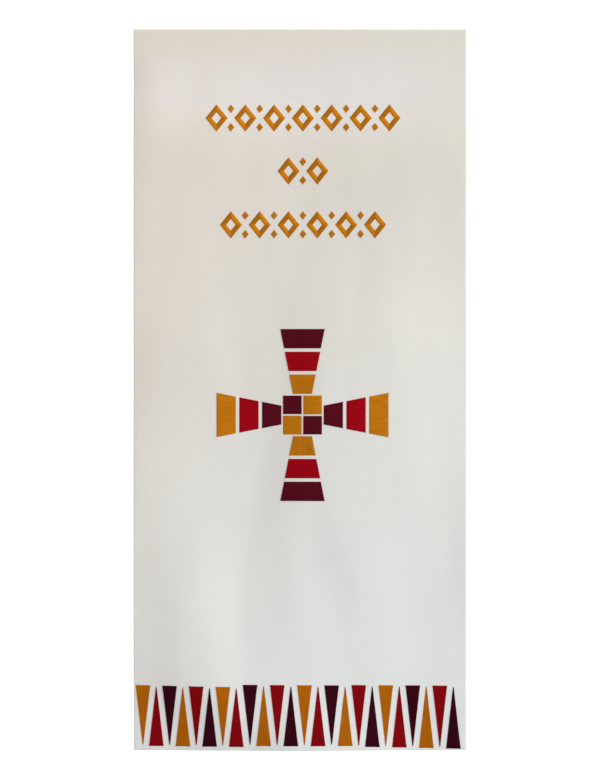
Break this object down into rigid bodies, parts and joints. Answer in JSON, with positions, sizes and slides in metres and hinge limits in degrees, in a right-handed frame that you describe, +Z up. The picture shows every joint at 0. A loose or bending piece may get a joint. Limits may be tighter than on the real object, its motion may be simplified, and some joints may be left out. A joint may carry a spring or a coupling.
{
  "type": "ambo cloth",
  "caption": "Narrow white hanging cloth for the front of an ambo, with a flared banded cross and a border of pointed patches along its hem.",
  "frame": {"origin": "middle of the top edge, half way through the cloth", "axes": "+Z up along the cloth's length, the face looks along -Y, +X to the right as seen from the front"},
  "size_m": [0.6, 0.0208, 1.3],
  "materials": {
    "white_cloth": "matt plain-woven white cloth, slightly warm",
    "gold_thread": "gold embroidery thread with a soft sheen",
    "red_thread": "red embroidery thread with a soft sheen",
    "burgundy_thread": "dark burgundy embroidery thread with a soft sheen"
  },
  "bodies": {
    "root": {"cloth": "white_cloth", "border_01": "gold_thread", "border_02": "red_thread", "border_03": "burgundy_thread", "border_04": "gold_thread", "border_05": "red_thread", "border_06": "burgundy_thread", "border_07": "gold_thread", "border_08": "red_thread", "border_09": "burgundy_thread", "border_10": "gold_thread", "border_11": "red_thread", "border_12": "burgundy_thread", "border_13": "gold_thread", "border_14": "red_thread", "border_15": "burgundy_thread", "border_16": "gold_thread", "border_17": "red_thread", "border_18": "burgundy_thread", "border_19": "gold_thread", "border_20": "red_thread", "border_21": "burgundy_thread", "border_22": "gold_thread", "border_23": "red_thread", "border_24": "burgundy_thread", "cross_top_band_1": "burgundy_thread", "cross_top_band_2": "red_thread", "cross_top_band_3": "gold_thread", "cross_right_band_1": "gold_thread", "cross_right_band_2": "red_thread", "cross_right_band_3": "burgundy_thread", "cross_bottom_band_1": "burgundy_thread", "cross_bottom_band_2": "red_thread", "cross_bottom_band_3": "gold_thread", "cross_left_band_1": "gold_thread", "cross_left_band_2": "red_thread", "cross_left_band_3": "burgundy_thread", "cross_square_upper_left": "burgundy_thread", "cross_square_upper_right": "gold_thread", "cross_square_lower_left": "gold_thread", "cross_square_lower_right": "burgundy_thread"}
  },
  "joints": []
}
